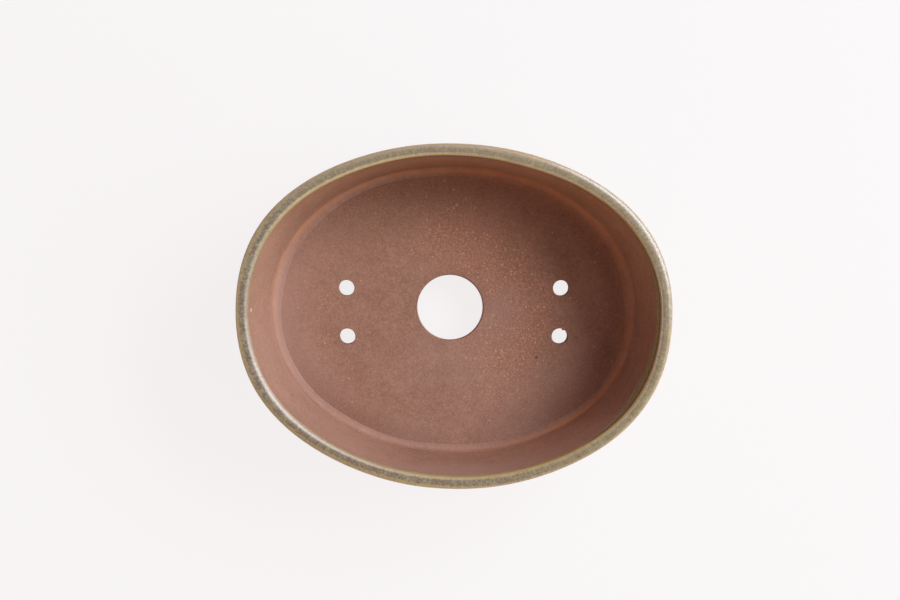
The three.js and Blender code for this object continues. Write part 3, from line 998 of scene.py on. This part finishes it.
STAGE_HALF = 4.0  # metres
STAGE_WHITE = (0.955, 0.925, 0.925)
STAGE_GLOW = 0.9  # share of the stage that shows its own white, so that its shadow stays faint


def background_ray(finish):
    """1 for what the camera, gloss and glass see, 0 for light that falls on the pot."""
    path = finish.node("ShaderNodeLightPath", output="Is Camera Ray")
    outputs = path.socket.node.outputs
    seen = path.most(Value(finish, outputs["Is Glossy Ray"]))
    return seen.most(Value(finish, outputs["Is Transmission Ray"]))


def make_stage():
    mesh = bpy.data.meshes.new("stage_floor")
    corners = ((-1, -1), (1, -1), (1, 1), (-1, 1))
    mesh.from_pydata([(x * STAGE_HALF, y * STAGE_HALF, 0) for x, y in corners], [], [(0, 1, 2, 3)])
    floor = bpy.data.objects.new("stage_floor", mesh)
    bpy.context.collection.objects.link(floor)
    white = Finish(bpy.data.materials.new("stage_white"))
    seen = background_ray(white)
    lit = white.node("ShaderNodeBsdfDiffuse", None, {"Color": STAGE_WHITE})
    glow = white.node("ShaderNodeEmission", None, {"Color": STAGE_WHITE, "Strength": 1.0})
    shown = white.node("ShaderNodeMixShader", None, {0: seen * STAGE_GLOW, 1: lit, 2: glow})
    white.node("ShaderNodeOutputMaterial", None, {"Surface": shown})
    dress(floor, white.owner)


ROOM_FILL = (0.292, 0.246, 0.253)  # warm light from all round the room
ROOM_OVERHEAD = 0.2  # how bright the room looks straight up, where its sides are 1
LAMP_DISTANCE = 1.3  # metres
# Direction and elevation in degrees, size in metres, power in watts, colour, and whether it falls on matte
# surfaces and shows in gloss
LAMPS = {
    "window": (26.5, 40, (1.1, 0.6), 17.8, (0.89, 1.01, 1.13), True, False),
    "white_card": (-20, 15, (1.2, 0.6), 6.6, (0.87, 1.06, 1.0), True, False),
    "warm_card": (240, 20, (1.2, 0.6), 2.0, (1.5, 1.0, 0.4), True, False),
    "window_in_gloss": (34, 20, (1.4, 1.5), 42.0, (0.92, 0.96, 1.24), False, True),
    "card_in_gloss": (185, 17, (0.9, 0.4), 3.7, (1.0, 1.0, 1.0), False, True),
}


def make_room():
    """What surrounds the pot: a dim warm fill for its light, and white sides to be seen and mirrored."""
    room = Finish(bpy.data.worlds.new("room"))
    bpy.context.scene.world = room.owner
    towards = room.node("ShaderNodeTexCoord", None, None, "Generated")
    height = room.node("ShaderNodeSeparateXYZ", None, {0: towards}, "Z")
    shown = room.mix(room.between(height, 0.55, 0.95), (1.0, 1.0, 1.0), (ROOM_OVERHEAD,) * 3)
    colour = room.mix(background_ray(room), ROOM_FILL, shown)
    light = room.node("ShaderNodeBackground", None, {"Color": colour})
    room.node("ShaderNodeOutputWorld", None, {"Surface": light})


def make_lamp(name, azimuth, elevation, size, power, colour, on_matte, on_gloss):
    lamp = bpy.data.lights.new(name, "AREA")
    lamp.shape = "RECTANGLE"
    lamp.size, lamp.size_y = size
    lamp.energy = power
    lamp.color = colour
    turn, lift = math.radians(azimuth), math.radians(elevation)
    towards = Vector((math.cos(turn) * math.cos(lift), math.sin(turn) * math.cos(lift), math.sin(lift)))
    stand = bpy.data.objects.new(name, lamp)
    stand.location = Vector((0, 0, RIM_TOP * MM)) + towards * LAMP_DISTANCE
    stand.rotation_euler = towards.to_track_quat("Z", "Y").to_euler()
    stand.visible_camera = False
    stand.visible_diffuse = on_matte
    stand.visible_glossy = on_gloss
    bpy.context.collection.objects.link(stand)


def make_light():
    make_room()
    for name, settings in LAMPS.items():
        make_lamp(name, *settings)


IMAGE = (900, 600)
SENSOR_WIDTH = 36.0
CAMERA_DISTANCE = 700.0
PIXELS_PER_MM = 2.754  # at the rim
CAMERA_LEAN = (-0.273, 3.626)  # degrees from the pot's axis towards +X and +Y
MOUTH_PIXEL = (454.12, 316.22)  # where the middle of the mouth is seen


def make_camera():
    focal = PIXELS_PER_MM * CAMERA_DISTANCE
    data = bpy.data.cameras.new("photo_camera")
    data.sensor_width = SENSOR_WIDTH
    data.lens = SENSOR_WIDTH * focal / IMAGE[0]
    data.clip_start = 0.01
    lean_x, lean_y = (math.tan(math.radians(a)) for a in CAMERA_LEAN)
    back = Vector((lean_x, lean_y, 1)).normalized()
    right = Vector((0, 1, 0)).cross(back).normalized()
    up = back.cross(right)
    pan = Matrix.Rotation(-math.atan((MOUTH_PIXEL[0] - IMAGE[0] / 2) / focal), 3, "Y")
    tilt = Matrix.Rotation(math.atan((IMAGE[1] / 2 - MOUTH_PIXEL[1]) / focal), 3, "X")
    to_camera = tilt @ pan @ Matrix((right, up, back))
    camera = bpy.data.objects.new("photo_camera", data)
    place = Vector((0, 0, GLAZE_TOP)) + back * CAMERA_DISTANCE
    camera.matrix_world = Matrix.Translation(place * MM) @ to_camera.transposed().to_4x4()
    bpy.context.collection.objects.link(camera)
    bpy.context.scene.camera = camera


make_camera()
make_pot()
make_stage()
make_light()
bpy.context.scene.view_settings.view_transform = "Standard"
